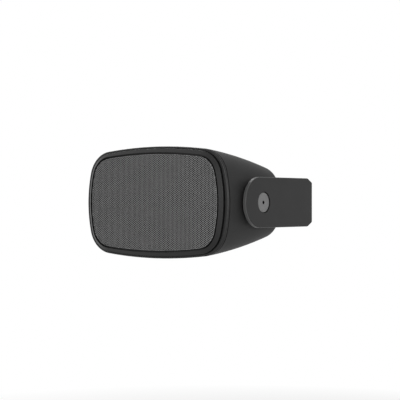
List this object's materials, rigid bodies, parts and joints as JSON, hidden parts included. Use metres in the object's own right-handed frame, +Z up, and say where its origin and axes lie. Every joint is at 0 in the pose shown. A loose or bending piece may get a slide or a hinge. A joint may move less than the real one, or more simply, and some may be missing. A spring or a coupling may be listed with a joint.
{
  "type": "outdoor patio speaker",
  "caption": "Tapered oval wall loudspeaker with a perforated front grille, tilting between the arms of a U-shaped wall bracket.",
  "frame": {"origin": "middle of the bracket's back face, on the wall", "axes": "+X to the right along the long side, -Y towards the listener, +Y into the wall, +Z up"},
  "size_m": [0.2446, 0.2098, 0.15],
  "materials": {
    "cabinet_plastic": "fine moulded grain",
    "bracket_metal": "satin powder coat",
    "grille_metal": "powder-coated perforated sheet",
    "grille_cloth": "open weave",
    "disc_metal": "satin grey",
    "washer_rubber": "matt",
    "insert_brass": "turned",
    "screw_steel": "zinc plated",
    "basket_metal": "pressed and painted",
    "cone_paper": "coated paper",
    "spider_cloth": "treated cloth",
    "motor_steel": "zinc plated",
    "magnet_ferrite": "sintered",
    "faceplate_plastic": "moulded",
    "board_resin": "glass-filled laminate",
    "component_plastic": "moulded",
    "coil_copper": "enamelled wire",
    "button_red": "moulded",
    "button_black": "moulded",
    "lead_sleeve": "smooth",
    "wadding": "loose fibre"
  },
  "bodies": {
    "bracket": {"u_bracket": "bracket_metal"},
    "woofer_diaphragm": {"woofer_cone": "cone_paper", "woofer_dust_cap": "cone_paper", "woofer_voice_coil": "cone_paper"},
    "tweeter_diaphragm": {"tweeter_dome": "spider_cloth", "tweeter_voice_coil": "spider_cloth"},
    "red_button": {"terminal_button_red": "button_red"},
    "black_button": {"terminal_button_black": "button_black"},
    "cabinet": {"acoustic_wadding": "wadding", "baffle_gasket": "washer_rubber", "baffle_screws": "screw_steel", "cabinet": "cabinet_plastic", "crossover_board": "board_resin", "crossover_capacitors": "component_plastic", "crossover_inductor": "coil_copper", "crossover_resistor": "component_plastic", "crossover_screws": "screw_steel", "front_baffle": "cabinet_plastic", "grille": "grille_metal", "grille_cloth": "grille_cloth", "grille_frame": "cabinet_plastic", "input_lead_black": "lead_sleeve", "input_lead_red": "lead_sleeve", "pivot_bolt_left": "disc_metal", "pivot_bolt_right": "disc_metal", "pivot_insert_left": "insert_brass", "pivot_insert_right": "insert_brass", "pivot_washer_left": "washer_rubber", "pivot_washer_right": "washer_rubber", "terminal_contact_black": "insert_brass", "terminal_contact_red": "insert_brass", "terminal_plate": "faceplate_plastic", "terminal_screws": "screw_steel", "tweeter_faceplate": "faceplate_plastic", "tweeter_lead": "lead_sleeve", "tweeter_magnet": "magnet_ferrite", "tweeter_pole_ring": "motor_steel", "tweeter_screws": "screw_steel", "tweeter_surround": "spider_cloth", "tweeter_yoke": "motor_steel", "woofer_basket": "basket_metal", "woofer_gasket": "washer_rubber", "woofer_lead": "lead_sleeve", "woofer_magnet": "magnet_ferrite", "woofer_screws": "screw_steel", "woofer_spider": "spider_cloth", "woofer_surround": "washer_rubber", "woofer_top_plate": "motor_steel", "woofer_yoke": "motor_steel"}
  },
  "joints": [
    {"name": "cabinet_tilt", "type": "hinge", "parent": "bracket", "child": "cabinet", "pos_m": [0, -0.1234, 0], "axis": [1, 0, 0], "range_deg": [-90, 90]},
    {"name": "woofer_stroke", "type": "slide", "parent": "cabinet", "child": "woofer_diaphragm", "axis": [0, -1, 0], "range_m": [-0.003, 0.003], "stiffness_N_per_m": 1200, "deforming": ["woofer_surround", "woofer_spider"]},
    {"name": "tweeter_stroke", "type": "slide", "parent": "cabinet", "child": "tweeter_diaphragm", "axis": [0, -1, 0], "range_m": [-0.0003, 0.0003], "stiffness_N_per_m": 800, "deforming": ["tweeter_surround"]},
    {"name": "red_terminal_press", "type": "slide", "parent": "cabinet", "child": "red_button", "axis": [0, -1, 0], "range_m": [0, 0.004], "stiffness_N_per_m": 500, "springref_m": -0.002, "deforming": ["terminal_contact_red"]},
    {"name": "black_terminal_press", "type": "slide", "parent": "cabinet", "child": "black_button", "axis": [0, -1, 0], "range_m": [0, 0.004], "stiffness_N_per_m": 500, "springref_m": -0.002, "deforming": ["terminal_contact_black"]}
  ]
}
